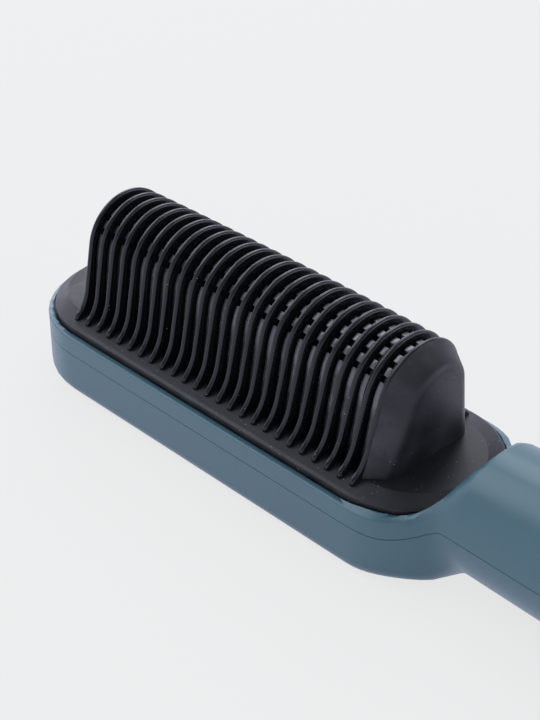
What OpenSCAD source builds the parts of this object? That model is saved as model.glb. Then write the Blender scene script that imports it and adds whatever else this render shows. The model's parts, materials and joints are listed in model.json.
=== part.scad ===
// Heated straightening comb, lying on its back with the comb fins up.
// X runs from the tip of the head to the cord gland, Z is up, the floor is z = 0,
// and the origin is the middle of the whole tool on the floor.

/* [Whole tool] */
// Length from the tip of the head to the end of the cord gland
overall_l = 271; // [258:1:296]
// Wall of the moulded housing
wall = 2.0; // [1.6:0.1:2.6]

/* [Head] */
// Width of the head across the housing
head_w = 46.2; // [44:0.1:52]
// Straight run of the head between its two round ends
head_run = 90; // [89:0.5:96]
// Distance from the middle of the round tip to the middle of the comb
comb_at = 44.2; // [42:0.1:46]
// Height of the housing rim around the comb
rim_z = 17.0; // [16.6:0.1:20]
// Height of the seam between the two housings along the head
seam_z = 11.4; // [9:0.1:12]
// Radius of the head's edges at its back
back_round = 2.8; // [2.4:0.1:5]
// How far the rim slopes down toward its outer edge
rim_drop = 1.0; // [0.4:0.1:1.6]
// How much of the head's back is planed off flat
back_flat = 0.2; // [0.1:0.05:0.5]
// Run of the head's full width behind its rear round end
shoulder_run = 2.8; // [1:0.1:6]
// Length over which the head draws in to the handle
shoulder_l = 23; // [20:0.1:30]

/* [Handle] */
// Diameter of the handle behind the head
handle_d = 30.6; // [29:0.1:34]
// Swelling of the handle's radius in the middle of the grip
grip_swell = 0.7; // [0:0.1:1.5]
// Height of the handle's axis, where its seam lies
handle_z = 16.2; // [16:0.1:18]
// Radius of the blend in the corner between head and handle
neck_blend = 1.1; // [0.6:0.1:5]
// Length of the rounded tail
tail_l = 24; // [16:0.5:30]
// Radius of the flat end of the tail
tail_r = 9.6; // [9:0.1:11]

/* [Comb guard] */
// Distance from one guard fin to the next
fin_pitch = 3.85; // [3.7:0.05:3.95]
// Gaps between the guard fins, each with one heated fin in it
gap_count = 24; // [20:1:24]
// Thickness of a guard fin
fin_t = 1.3; // [0.9:0.05:1.4]
// Height of the fins' crest above the floor
crest_z = 47.3; // [44:0.1:50]
// Radius of the fins' round crest
crest_r = 12.8; // [11.5:0.1:13.2]
// Lean of a fin's straight side
fin_lean = 13; // [8:0.5:14]
// Extra height of the crest in the middle of the row
crest_bow = 0.5; // [0:0.05:1]
// Half width across the toes of the middle fin
toe_half_w = 18.8; // [18.2:0.1:19.4]
// How much further out the toes of the row's end fins reach
toe_spread = 0.4; // [0:0.05:0.8]
// Height of the flare above the deck
flare_h = 6.2; // [5:0.1:8]
// Height of the toe's blunt tip
toe_t = 1.0; // [0.5:0.1:1.2]
// Height of the flat deck that carries the fins
deck_z = 19.4; // [18.6:0.1:20.5]
// Thickness of the deck
deck_t = 2.4; // [2:0.1:2.6]
// Width of the flat part of the deck
deck_w = 32; // [31:0.1:35]
// How much further out the flat part's round tip is centred than the head's
deck_front = 3.4; // [0:0.1:4]
// How much further out the flat part's rear end is centred than the head's
deck_rear = 1.6; // [0:0.1:3]
// Height of the guard's edge above the rim
lip_h = 0.8; // [0.3:0.1:1.2]
// Width of the bevel along that edge
lip_w = 0.7; // [0.4:0.1:1.2]
// Gap between the guard and the housing rim
guard_gap = 0.25; // [0.15:0.05:0.5]
// Width of the housing rim that shows around the guard
rim_w = 1.55; // [1.3:0.05:2.2]
// Depth of the guard's skirt below the rim
skirt_h = 2.3; // [2:0.1:3]
// Thickness of the guard's skirt
skirt_t = 1.7; // [1.4:0.1:2]
// Length of the end block on the handle side
block_l = 6.6; // [4:0.1:8]
// How far the block's end face is set in from the fin's sides
block_inset = 4.6; // [3:0.1:5.5]
// How far the end face's crest lies below the fins' crest
block_drop = 3.6; // [3:0.1:6]
// Lean of the end face's sides
block_lean = 11.5; // [8:0.5:14]
// Lean of the end face itself, toward the comb at its crest
block_draft = -1; // [-3:0.5:6]

/* [Heating comb] */
// Thickness of a heated fin
heat_fin_t = 1.4; // [1:0.05:1.6]
// Clear gap between a heated fin and its slot in the deck
slot_gap = 0.3; // [0.2:0.05:0.4]
// How far the heated fins stay below the guard's outline
heat_inset = 2.0; // [1.6:0.1:3]
// Thickness of the plate that carries the heated fins
base_t = 3.0; // [2.5:0.1:3.6]
// Width of that plate
base_w = 31; // [30:0.5:32]
// Length of that plate past the last heated fin
base_end = 3.0; // [2:0.1:4]
// Distance between the teeth along the heated fins' crest
tooth_pitch = 3.6; // [3.2:0.1:4.5]
// Width of a notch between two teeth
notch_w = 1.5; // [1.2:0.1:1.8]
// Depth of a notch
notch_h = 1.5; // [1:0.1:2.2]
// Notches in a crest
notch_count = 7; // [3:2:7]
// Length of the ceramic heater
heater_l = 84; // [70:0.5:86]
// Width of the ceramic heater
heater_w = 12; // [8:0.5:12]
// Thickness of the ceramic heater
heater_t = 1.4; // [1.4:0.1:1.8]
// Thickness of the mica sheet
mica_t = 0.4; // [0.3:0.1:0.6]
// Thickness of the clamp plate
clamp_t = 1.0; // [0.8:0.1:1.2]
// Width of the clamp plate
clamp_w = 27; // [26:0.5:28]
// How far the clamp and the mica reach past the heater at each end
clamp_over = 7; // [6:0.5:8]
// Radius of the thermal fuse
fuse_r = 1.8; // [1.5:0.1:2]
// Length of the thermal fuse
fuse_l = 9; // [8:0.5:10]

/* [Button and lights] */
// Distance of the button behind the middle of the head's rear round end
button_back = 54.4; // [50:0.1:58]
// Radius of the button
button_r = 5.6; // [5:0.1:6.2]
// Travel of the button
button_travel = 0.6; // [0.4:0.1:0.8]
// How far the button stands above its bezel
button_proud = 0.9; // [0.8:0.1:1.4]
// Width of the bezel ring
bezel_w = 1.7; // [1.5:0.1:2]
// How far the bezel stands above the handle's crown
bezel_proud = 0.4; // [0.2:0.1:0.8]
// Sliding gap around the button
button_gap = 0.2; // [0.1:0.05:0.3]
// Number of indicator windows
light_count = 5; // [3:1:6]
// Distance between two windows
light_pitch = 5; // [4:0.1:6]
// Radius of a window
light_r = 1.1; // [0.8:0.1:1.5]
// Distance from the button to the first window
light_first = 13; // [12:0.5:16]

/* [Circuit] */
// Length of the circuit board
board_l = 66; // [60:0.5:70]
// Width of the circuit board
board_w = 19; // [16:0.5:20]
// Thickness of the circuit board
board_t = 1.6; // [1:0.1:1.6]
// Height of the board's upper face
board_z = 22.6; // [21.8:0.1:22.8]
// How far the board reaches ahead of the button
board_lead = 15.5; // [14:0.5:17]

/* [Cord gland] */
// Bore for the cord
cord_bore_r = 3.1; // [2.8:0.05:3.5]
// Radius of the gland's neck in its bush
neck_r = 5.2; // [4.9:0.05:5.6]
// Running clearance of the neck
neck_gap = 0.06; // [0.03:0.01:0.1]
// Length of the gland outside the housing
gland_l = 13; // [10:0.5:16]
// Radius of the gland at the housing
gland_r = 7.6; // [7:0.1:8.5]
// Radius of the gland at its outer end
gland_end_r = 5.4; // [5:0.1:6.5]
// Outer radius of the bush
bush_r = 7.2; // [6.9:0.1:7.6]
// How far the bush stands out of the tail
bush_proud = 0.6; // [0.4:0.1:1]
// Length of the gland's spigot inside the tail
spigot_l = 10; // [9.5:0.5:11]
// Radius of the spigot
spigot_r = 3.8; // [3.7:0.05:4]
// Outer radius of the slip rings
ring_r = 4.6; // [4.4:0.05:4.8]
// Width of a slip ring
ring_w = 2.4; // [2:0.1:2.8]

/* [Screws] */
// Radius of a housing screw's thread
screw_r = 1.3; // [1.1:0.05:1.5]
// Radius of a housing screw's head
screw_head_r = 2.4; // [2.2:0.1:2.7]
// Radius of a screw boss
boss_r = 3.4; // [3:0.1:3.8]
// Depth of the screws' recesses in the head
recess_h = 4; // [3:0.1:4.5]
// Depth of the screws' recesses in the handle
grip_recess_h = 8; // [6:0.5:9]
// Distance of the head's screws past the middles of its round ends
screw_out = 10; // [9.6:0.1:11]
// Distance of the handle's front screw behind the middle of the head's rear round end
grip_screw_back = 33.4; // [31:0.1:35]
// Length of a thread in the head
screw_l = 10; // [8:0.5:10.5]
// Length of a thread in the handle
grip_screw_l = 12; // [11:0.5:13]

/* [Hidden] */
$fn = 64;
eps = 0.02;
fit = 0.03;                            // radial play of pieces that are fixed in one another
seat = 0.1;                            // gap between flat seats

// Places along X
head_r = head_w / 2;
front_x = -overall_l / 2 + head_r;     // middle of the round tip
comb_x = front_x + comb_at;            // middle of the comb
rear_x = front_x + head_run;           // middle of the round rear end
shoulder_x = rear_x + shoulder_run;
// Stretches of the shoulder, as shares of its length, over which the seam climbs, the back and the top
// climb, and the top's and the back's sections turn round
seam_climb = [0.26, 0.85];
seam_bend = 1.8;
back_climb = [0, 0.6];
top_climb = [0.34, 1.02];
top_rounding = [0.29, 0.64];
back_rounding = [0.71, 1];
handle_r = handle_d / 2;
gland_x = overall_l / 2 - gland_l;     // flat end of the tail
tail_x = gland_x - tail_l;

// Guard
plate_r = head_r - rim_w - guard_gap;  // the guard's outer edge
deck_r = deck_w / 2;
edge_z = rim_z + lip_h;                // foot of the bevel on the guard's edge
lip_z = edge_z + lip_w * 0.6;          // top of that bevel
lip_r = plate_r - lip_w;
lip_step = 0.08;                       // narrow flat between the bevel and the sloping deck
flare_sink = 0.03;                     // how far a flare's arc sinks into the fin's side
deck_under = deck_z - deck_t;
skirt_z = rim_z - skirt_h;             // ledge that the guard sits on
crest_zc = crest_z - crest_r;          // height of the crest's centre
row_l = gap_count * fin_pitch;

// Pocket for the guard in the housing, and the front wall of the handle behind it
cut_r = plate_r + guard_gap;
ledge_r = plate_r - skirt_t - guard_gap;
front_h = 20;
front_draft = 0.24;                    // outward slope of that wall

// Heated stack under the deck
heat_r = crest_r - heat_inset;
heat_half_w = fin_half_w(heat_r, deck_under);
tooth_turn = tooth_pitch / heat_r * 180 / PI;
slot_w = heat_fin_t + 2 * slot_gap;
slot_half_l = heat_half_w + slot_gap;
base_top = deck_under - seat;
base_z = base_top - base_t;
heater_z = base_z - heater_t;
mica_z = heater_z - mica_t;
clamp_z = mica_z - clamp_t;
clamp_l = heater_l + 2 * clamp_over;
clamp_screw_r = 1.0;
clamp_screws = [for (x = [-1:1], y = [-1, 1])
    [comb_x + x * (heater_l + clamp_over) / 2, y * (clamp_w / 2 - 3)]];
pillar_r = 2;
pillars = [for (x = [-1, 1], y = [-1, 1]) [comb_x + x * heater_l / 3, y * (clamp_w / 2 - 4)]];
bead_r = 0.6;
bead_l = 5;
heat_end = comb_x + heater_l / 2;       // the heater's end on the handle side
bead_x = heat_end - 14;
bead_y = heater_w / 2 + 1.6;
fuse_x = heat_end - 4;
fuse_y = 3;
fuse_z = clamp_z - fuse_r - seat;

// Button, from the board up
button_x = rear_x + button_back;
swell_top = grip_r(button_x);
crown_z = handle_z + swell_top;
bezel_top = crown_z + bezel_proud;
bezel_r = button_r + button_gap + bezel_w;
bezel_flange_r = bezel_r + 1;
bezel_flange_t = 1;
bezel_z = handle_z + sqrt(pow(swell_top - wall, 2) - pow(bezel_flange_r, 2)) - seat - bezel_flange_t;
button_top = bezel_top + button_proud;
switch_w = 6;
switch_top = board_z + 3.4;
plunger_r = 1.7;
plunger_z = switch_top - button_travel;
plunger_top = switch_top + 1.2;
flange_w = 0.9;                        // the button's lip under the bezel
flange_top = plunger_top + 1.3;
cap_t = 1.3;
dish_r = 32;

// Board and what is on it
board_x = button_x + board_l / 2 - board_lead;
board_end = board_x + board_l / 2;
board_under = board_z - board_t;
board_screws_x = [board_x - board_l / 2 + 4, board_x + board_l / 2 - 4];
board_screw_r = 0.9;
light_x = button_x + light_first;
lights = [for (i = [0:light_count - 1]) light_x + i * light_pitch];
pin_r = 0.4;
capacitor_at = [board_end - 23, 4.5];
capacitor = [13, 6, 11];
capacitor_pins = [for (s = [-1, 1]) capacitor_at + [s * 4, 0]];
triac_at = [board_x - 3, -5];
triac = [10, 4.5, 9];
triac_pins = [for (s = [-1:1]) triac_at + [s * 2.54, 0]];

// Screws that hold the housings together, from the back
head_screws_x = [front_x - screw_out, rear_x + screw_out];
grip_screws_x = [rear_x + grip_screw_back, tail_x + 0.5];
guard_boss_z = recess_h + 2.6;
grip_seat_z = handle_z - handle_r + grip_recess_h;
screw_head_h = 1.8;

// Gland
bush_bore_r = neck_r + neck_gap;
bush_flange_r = bush_r + 1.4;
bush_flange_t = 1.4;
bush_x = gland_x - wall - bush_flange_t;
clip_t = 0.9;
clip_x = bush_x - 0.15 - clip_t;
groove_r = neck_r - 0.7;
neck_x = clip_x - 1;
spigot_x = neck_x - spigot_l;
rings_x = [neck_x - 2.6, neck_x - 2.6 - 4.8];
brush_gap = 0.08;
brush_t = 1.9;
holder_x = rings_x[1] - 3.4;
holder_z = handle_z - 10;
holder_top = handle_z - ring_r - 1.2;

// Wires: points chosen along their way, each [distance past the heater's end, y, z]. Behind the clamp the
// way stretches with the room up to the board, which it reaches at lead_run.
lead_r = 0.55;
sense_r = 0.45;
lead_clear = clamp_over + 3.2;
lead_run = 42.7;
lead_stretch = (board_x - board_l / 2 - heat_end - lead_clear) / (lead_run - lead_clear);
function wire(route) = [for (p = route)
    [heat_end + min(p[0], lead_clear) + max(p[0] - lead_clear, 0) * lead_stretch, p[1], p[2]]];
heater_lead = [[0.2, -3, 13.2], [4.2, -3, 13.2], [7.2, -3, 13], [10.2, -5, 11], [14.2, -7, 8],
    [22.2, -8, 7], [32.2, -8, 9], [39.2, -7, 14], [44.2, -6, 19], [46.2, -6, 20.2]];
fuse_feed = [[0.2, 3, 13.2], [4.2, 3, 13.2], [8.2, 3, 12.8], [10.2, 3, 11], [9.2, 3, 9.4], [6.2, 3, 9],
    [-2.8, 3, 9]];
fuse_lead = [[-14.8, 3, 9], [-16.8, 3, 8.6], [-17.8, 3, 7], [-16.8, 3, 5.4], [-11.8, 4, 5], [0.2, 7, 5.4],
    [14.2, 8, 6], [26.2, 8, 8], [36.2, 8, 13], [42.2, 6, 18.4], [44.2, 6, 20.2]];
sense_lead_a = [[-13.8, 7, 13.2], [4.2, 7, 13.2], [8.2, 7, 13], [11.2, 7.4, 11.8], [17.2, 9.4, 10.6],
    [28.2, 9.6, 12], [39.2, 8.2, 17], [46.2, 7.6, 20.3]];
sense_lead_b = [[-13.8, 8.2, 13.2], [4.2, 8.2, 13.2], [8.2, 8.4, 13], [12.2, 9.2, 12], [18.2, 11, 11.4],
    [29.2, 11.2, 13], [40.2, 9.8, 17.4], [46.2, 9, 20.3]];
// The supply's way from its pads on the board to the brush holder, each [share of the way, y, z]
pad_x = board_end - 6.5;
supply_way = [[1, 3, 8], [0.8, 6.4, 9.6], [0.57, 7, 13], [0.335, 7, 17.4], [0.134, 7, 19.6], [0, 7, 20.2]];

// Half width at height z of a fin whose crest has radius r
function fin_half_w(r, z) = r * cos(fin_lean) + (crest_zc + r * sin(fin_lean) - z) * tan(fin_lean);
// Middle of gap i between the fins
function gap_x(i) = comb_x - row_l / 2 + (i + 0.5) * fin_pitch;

// 0 to 1 in a smooth S between a and b
function ease(x, a, b) = let (t = min(max((x - a) / (b - a), 0), 1)) t * t * (3 - 2 * t);
// The larger of two lengths, with the corner between them rounded by k
function blend_max(a, b, k) = let (h = max(k - abs(a - b), 0) / k) max(a, b) + h * h * k / 4;
// Place along the grip, 0 behind the head and 1 at the tail
function grip_at(x) = min(max((x - rear_x - head_r) / (tail_x - rear_x - head_r), 0), 1);
// Radius of the round handle at x
function grip_r(x) = handle_r + grip_swell * sin(180 * grip_at(x))
    - (x > tail_x ? (handle_r - tail_r) * (1 - sqrt(max(1 - pow((x - tail_x) / tail_l, 2), 0))) : 0);
// Half width of the housing at x
function half_w(x) = x <= shoulder_x ? head_r
    : blend_max(head_r * sqrt(max(1 - pow((x - shoulder_x) / shoulder_l, 2), 0)), grip_r(x), neck_blend);
// 0 to 1 over a stretch of the shoulder, whose ends are shares of its length
function shoulder_at(x, stretch) = ease((x - shoulder_x) / shoulder_l, stretch[0], stretch[1]);
// Height of the seam, the back and the top at x
function seam_at(x) = seam_z + (handle_z - seam_z)
    * pow(min(max((x - shoulder_x) / shoulder_l - seam_climb[0], 0)
        / (seam_climb[1] - seam_climb[0]), 1), seam_bend);
function back_at(x) = (handle_z - grip_r(x) + back_flat) * shoulder_at(x, back_climb) - back_flat;
function top_at(x) = rim_z + (handle_z + grip_r(x) - rim_z) * shoulder_at(x, top_climb);
// How round the section is at x: 0 for the head's box, 1 for the handle's circle, sooner on the top side
function round_at(x, side) = shoulder_at(x, side > 0 ? top_rounding : back_rounding);
// Point at angle a, 0 to 90, on a quarter box w wide and h high, with a round edge or a sloping rim
function box_point(a, w, h, edge) = a < 30 ? [w, (h - edge[1]) * a / 30]
    : a > 60 ? [(w - edge[0]) * (90 - a) / 30, h]
    : edge[0] == edge[1] ? [w - edge[0] * (1 - cos(3 * a - 90)), h - edge[1] * (1 - sin(3 * a - 90))]
    : [w - edge[0] * (a - 30) / 30, h - edge[1] * (60 - a) / 30];

// Stations along the housing, each [x, turn about the tip's middle]
steps = 24;
tip_turns = 9;
stations = concat(
    [for (i = [0:tip_turns]) [front_x, 86 * (1 - i / tip_turns)]],
    [for (i = [0:12]) [shoulder_x + i * shoulder_l / 12, 0]],
    [for (i = [1:5]) [shoulder_x + shoulder_l + i * (tail_x - shoulder_x - shoulder_l) / 5, 0]],
    [for (i = [1:7]) [tail_x + tail_l * sin(i * 90 / 7), 0]]);
hollow_x = concat(
    [for (i = [0:3]) rear_x + cut_r + 1 + i * 4],
    [for (i = [0:5]) rear_x + cut_r + 18 + i * (tail_x - rear_x - cut_r - 18) / 5],
    [for (i = [1:4]) tail_x + (tail_l - wall) * sin(i * 90 / 4)]);

// Half ring of the housing from seam to seam, set in by t; side is 1 for the top and -1 for the back
function half_ring(station, side, t) =
    let (x = station[0], turn = station[1], w = half_w(x) - t, s = seam_at(x), mix = round_at(x, side),
        h = (side > 0 ? top_at(x) - s : s - back_at(x)) - t,
        edge = side > 0 ? [rim_w + guard_gap, rim_drop] : max(back_round - t, 0.5) * [1, 1])
    [for (i = [0:steps]) let (a = 180 * i / steps, b = min(a, 180 - a), turned = a > 90 ? 1 : -1,
            p = (1 - mix) * box_point(b, w, h, edge) + mix * [w * cos(b), h * sin(b)],
            y = turned * p[0], z = s + side * p[1])
        turn == 0 ? [x, y, z] : [x - p[0] * sin(turn), y * cos(turn), z]];
// Ring of the hollow in the top of the handle, open a little past the seam
function hollow_ring(x) = let (r = half_ring([x, 0], 1, wall), low = [0, 0, -1])
    concat([r[0] + low], r, [r[steps] + low]);

// Triangles of a flat strip between the two halves of a ring of m points, from place a
function strip(a, m) = [for (i = [0:floor((m - 1) / 2) - 1]) let (j = m - 1 - i)
    each (i + 1 == j - 1 ? [[a + i, a + j, a + i + 1]]
        : i + 1 < j - 1 ? [[a + i, a + j, a + j - 1], [a + i, a + j - 1, a + i + 1]] : [])];
function flip(faces) = [for (f = faces) [f[0], f[2], f[1]]];

// Closed skin over a list of rings
module skin(rings) {
    m = len(rings[0]);
    side = [for (k = [0:len(rings) - 2], i = [0:m - 1]) let (j = (i + 1) % m, a = k * m, b = a + m)
        each [[a + i, a + j, b + j], [a + i, b + j, b + i]]];
    polyhedron(points = [for (r = rings) each r],
        faces = concat(side, strip(0, m), flip(strip((len(rings) - 1) * m, m))), convexity = 8);
}

// Closed shell between an outer and an inner list of half rings, open along the seam and at the tail
module shell(outer, inner) {
    m = len(outer[0]);
    n = 2 * m;
    last = (len(outer) - 1) * n;
    rings = [for (k = [0:len(outer) - 1]) concat(outer[k], [for (i = [m - 1:-1:0]) inner[k][i]])];
    side = [for (k = [0:len(rings) - 2], i = [0:n - 1]) let (j = (i + 1) % n, a = k * n, b = a + n)
        each [[a + i, b + j, a + j], [a + i, b + i, b + j]]];
    rim = [[0, m - 1, m], [0, m, n - 1]];
    tail = [for (i = [0:m - 2]) let (a = last + i, b = last + n - 1 - i)
        each [[a, b, a + 1], [a + 1, b, b - 1]]];
    polyhedron(points = [for (r = rings) each r],
        faces = concat(side, flip(strip(0, m)), flip(strip(m, m)), rim, tail), convexity = 8);
}

// Stadium of the head with radius r, from z = 0 up
module stadium(r, h) {
    translate([front_x, -r, 0]) cube([head_run, 2 * r, h]);
    for (x = [front_x, rear_x]) translate([x, 0, 0]) cylinder(r = r, h = h);
}

// Stadium whose edge slopes from r1 to r2
module sloped_stadium(r1, r2, h) {
    translate([front_x, 0, 0]) rotate([90, 0, 90]) linear_extrude(head_run)
        polygon([[-r1, 0], [r1, 0], [r2, h], [-r2, h]]);
    for (x = [front_x, rear_x]) translate([x, 0, 0]) cylinder(r1 = r1, r2 = r2, h = h);
}

// Stands a profile drawn in Y and Z at x, t thick
module across(x, t) {
    translate([x, 0, 0]) rotate([90, 0, 90]) linear_extrude(t) children();
}

// Outline of a fin: a round crest of radius r and height top on sides that lean and reach down to z
module fin_outline(r, top, z, lean = fin_lean) {
    side_y = r * cos(lean);
    side_z = top - r + r * sin(lean);
    foot_y = side_y + (side_z - z) * tan(lean);
    translate([0, top - r]) circle(r = r);
    polygon([[-foot_y, z], [foot_y, z], [side_y, side_z], [-side_y, side_z]]);
}

// The flared toes of a guard fin, half_w wide, each flare one arc from the leaning side to the toe's tip
module toes(half_w) {
    toe_z = lip_z + (deck_z - lip_z) * (lip_r - half_w) / (lip_r - deck_r);
    z = deck_z + flare_h;
    y = fin_half_w(crest_r, z);
    dy = half_w - y;
    dz = toe_z + toe_t - z;
    flare_r = (dy * dy + dz * dz) / (2 * (dy * cos(fin_lean) + dz * sin(fin_lean)));
    difference() {
        translate([-half_w, toe_z - 0.6]) square([2 * half_w, z - toe_z + 0.6]);
        for (s = [-1, 1])
            translate([s * (y + flare_r * cos(fin_lean) - flare_sink), z + flare_r * sin(fin_lean)])
                circle(r = flare_r);
    }
}

module comb_guard() color([0.10, 0.10, 0.11]) {
    difference() {
        union() {
            translate([0, 0, skirt_z]) stadium(plate_r, edge_z - skirt_z);
            translate([0, 0, edge_z]) sloped_stadium(plate_r, lip_r, lip_z - edge_z);
            deck();
        }
        translate([0, 0, skirt_z - 1]) stadium(plate_r - skirt_t, deck_under - skirt_z + 1);
        for (i = [0:gap_count - 1])
            translate([gap_x(i) - slot_w / 2, -slot_half_l, deck_under - 1])
                cube([slot_w, 2 * slot_half_l, deck_t + 2]);
    }
    for (i = [0:gap_count]) across(gap_x(i) - fin_pitch / 2 - fin_t / 2, fin_t) {
        bow = pow(2 * i / gap_count - 1, 2);
        fin_outline(crest_r, crest_z + crest_bow * (1 - bow), deck_z - 0.4);
        toes(toe_half_w + toe_spread * bow);
    }
    end_block();
    for (x = head_screws_x) translate([x, 0, 0]) difference() {
        translate([0, 0, guard_boss_z]) cylinder(r = boss_r, h = deck_under - guard_boss_z + 0.4);
        translate([0, 0, guard_boss_z - 1]) cylinder(r = screw_r + fit, h = screw_l - 1.2);
    }
}

// Block behind the last fin, drawn in to a flat end face
module end_block() {
    x = comb_x + row_l / 2;
    face_t = 0.5;
    hull() {
        across(x + 0.2, face_t) fin_outline(crest_r - 0.05, crest_z - 0.05, deck_z - 0.5, $fn = 40);
        translate([x + block_l - face_t, 0, deck_z]) rotate([0, -block_draft, 0]) translate([0, 0, -deck_z])
            across(0, face_t)
                fin_outline(crest_r - block_inset, crest_z - block_drop, deck_z - 0.5, block_lean, $fn = 40);
    }
}

// Deck that rises gently from the bevelled edge to its flat middle
module deck() hull() {
    for (x = [front_x, rear_x])
        translate([x, 0, lip_z - 0.5]) cylinder(r = lip_r - lip_step, h = 0.5, $fn = 96);
    for (x = [front_x - deck_front, rear_x + deck_rear])
        translate([x, 0, lip_z]) cylinder(r = deck_r, h = deck_z - lip_z, $fn = 96);
}

module heating_comb() color([0.16, 0.16, 0.17]) difference() {
    union() {
        translate([comb_x - row_l / 2 - base_end, -base_w / 2, base_z])
            cube([row_l + 2 * base_end, base_w, base_t]);
        for (i = [0:gap_count - 1]) across(gap_x(i) - heat_fin_t / 2, heat_fin_t) difference() {
            fin_outline(heat_r, crest_zc + heat_r, base_top - 0.5);
            for (k = [0:notch_count - 1])
                translate([0, crest_zc]) rotate((k - (notch_count - 1) / 2) * tooth_turn)
                    translate([-notch_w / 2, heat_r - notch_h]) square([notch_w, 2 * notch_h]);
        }
    }
    for (p = clamp_screws) translate([p[0], p[1], base_z - 1]) cylinder(r = clamp_screw_r, h = 3.4);
}

module ceramic_heater() color([0.93, 0.91, 0.86]) {
    translate([comb_x - heater_l / 2, -heater_w / 2, heater_z]) cube([heater_l, heater_w, heater_t]);
}

module mica_sheet() color([0.80, 0.72, 0.55]) difference() {
    translate([comb_x - clamp_l / 2, -clamp_w / 2, mica_z]) cube([clamp_l, clamp_w, mica_t]);
    for (p = clamp_screws) translate([p[0], p[1], mica_z - 1]) cylinder(r = clamp_screw_r + 0.2, h = 3);
}

// Sheet-steel clamp with its long edges turned down
module heater_clamp() color([0.72, 0.73, 0.75]) difference() {
    translate([comb_x - clamp_l / 2, 0, 0]) rotate([90, 0, 90]) linear_extrude(clamp_l) difference() {
        translate([-clamp_w / 2, clamp_z - 1.6]) square([clamp_w, clamp_t + 1.6]);
        translate([-clamp_w / 2 + clamp_t, clamp_z - 3]) square([clamp_w - 2 * clamp_t, 3]);
    }
    for (p = clamp_screws) translate([p[0], p[1], clamp_z - 1]) cylinder(r = clamp_screw_r + 0.2, h = 3);
}

module clamp_screws() color([0.62, 0.63, 0.66]) for (p = clamp_screws) translate([p[0], p[1], 0])
    screw(clamp_z, clamp_screw_r - fit, 3.6, 1.7, 1.1);

// Screw from below: its head sits under z, its thread goes up from there
module screw(z, r, l, head_r, head_h) {
    translate([0, 0, z]) cylinder(r = r, h = l);
    difference() {
        translate([0, 0, z - head_h]) cylinder(r = head_r, h = head_h);
        for (a = [0, 90]) rotate(a)
            translate([-head_r * 0.6, -head_r * 0.13, z - head_h - 1])
                cube([head_r * 1.2, head_r * 0.26, 1.7]);
    }
}

module thermistor() color([0.75, 0.55, 0.25]) {
    translate([bead_x, bead_y, heater_z + heater_t / 2]) rotate([0, -90, 0]) {
        cylinder(r = bead_r, h = bead_l);
        translate([0, 0, bead_l]) sphere(r = bead_r);
    }
}

// Axial fuse with its two tails, under the clamp
module thermal_fuse() color([0.85, 0.85, 0.82]) {
    translate([fuse_x, fuse_y, fuse_z]) rotate([0, -90, 0]) {
        cylinder(r = fuse_r, h = fuse_l);
        translate([0, 0, -1.2]) cylinder(r = 0.4, h = fuse_l + 2.4);
        translate([0, 0, fuse_l]) cylinder(r1 = fuse_r, r2 = 0.6, h = 0.8);
    }
}

// Wire of radius r along a list of points
module lead(route, r) {
    last = len(route) - 1;
    skin([for (i = [0:last])
        let (d = route[min(i + 1, last)] - route[max(i - 1, 0)], t = d / norm(d),
            c = cross(t, [0, 1, 0]), n = c / norm(c), v = cross(t, n))
        [for (k = [0:7]) route[i] + r * (cos(-45 * k) * n + sin(-45 * k) * v)]]);
}

// Points of a route with its corners rounded, three for each stretch
function rounded(p) = concat([for (i = [0:len(p) - 2], u = [0, 1 / 3, 2 / 3])
    let (a = p[max(i - 1, 0)], b = p[i], c = p[i + 1], d = p[min(i + 2, len(p) - 1)])
    b + u / 2 * (c - a) + u * u * (a - 2.5 * b + 2 * c - d / 2)
        + u * u * u * (1.5 * b - 1.5 * c + d / 2 - a / 2)], [p[len(p) - 1]]);

module heater_leads() color([0.75, 0.12, 0.10]) {
    lead(rounded(wire(heater_lead)), lead_r);
    lead(rounded(wire(fuse_feed)), lead_r);
    lead(rounded(wire(fuse_lead)), lead_r);
}

module sensor_leads() color([0.85, 0.80, 0.25]) {
    lead(rounded(wire(sense_lead_a)), sense_r);
    lead(rounded(wire(sense_lead_b)), sense_r);
}

module supply_leads() color([0.25, 0.45, 0.70]) for (s = [-1, 1])
    lead(rounded([for (p = supply_way)
        [pad_x + p[0] * (holder_x - 0.4 - pad_x), s * p[1], p[2]]]), lead_r);

module control_board() color([0.10, 0.35, 0.16]) {
    difference() {
        translate([board_x - board_l / 2, -board_w / 2, board_under]) cube([board_l, board_w, board_t]);
        for (x = board_screws_x) translate([x, 0, board_under - 1]) cylinder(r = board_screw_r + 0.3, h = 4);
        for (p = concat(capacitor_pins, triac_pins))
            translate([p[0], p[1], board_under - 1]) cylinder(r = pin_r + 0.1, h = 4);
    }
    // controller and its resistors
    translate([board_x - 14.5, -8, board_z]) cube([7, 4.4, 1.4]);
    for (i = [0:3]) translate([board_x - 6 + i * 3.4, 5.4, board_z]) cube([1.6, 3.2, 0.6]);
}

module board_screws() color([0.62, 0.63, 0.66]) for (x = board_screws_x) translate([x, 0, 0])
    screw(board_under, board_screw_r - fit, 6, 1.9, 1.2);

// Film capacitor that hangs under the board
module power_capacitor() color([0.82, 0.66, 0.18]) {
    translate([capacitor_at[0], capacitor_at[1], board_under - seat - capacitor[2]])
        linear_extrude(capacitor[2]) chamfered(capacitor[0], capacitor[1], 0.8);
    for (p = capacitor_pins) translate([p[0], p[1], board_under - 1]) cylinder(r = pin_r, h = board_t + 1.8);
}

// Rectangle with its corners cut off by c
module chamfered(l, w, c) {
    polygon([for (s = [[1, 1], [-1, 1], [-1, -1], [1, -1]])
        each (s[0] == s[1] ? [[s[0] * l / 2, s[1] * (w / 2 - c)], [s[0] * (l / 2 - c), s[1] * w / 2]]
            : [[s[0] * (l / 2 - c), s[1] * w / 2], [s[0] * l / 2, s[1] * (w / 2 - c)]])]);
}

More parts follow.
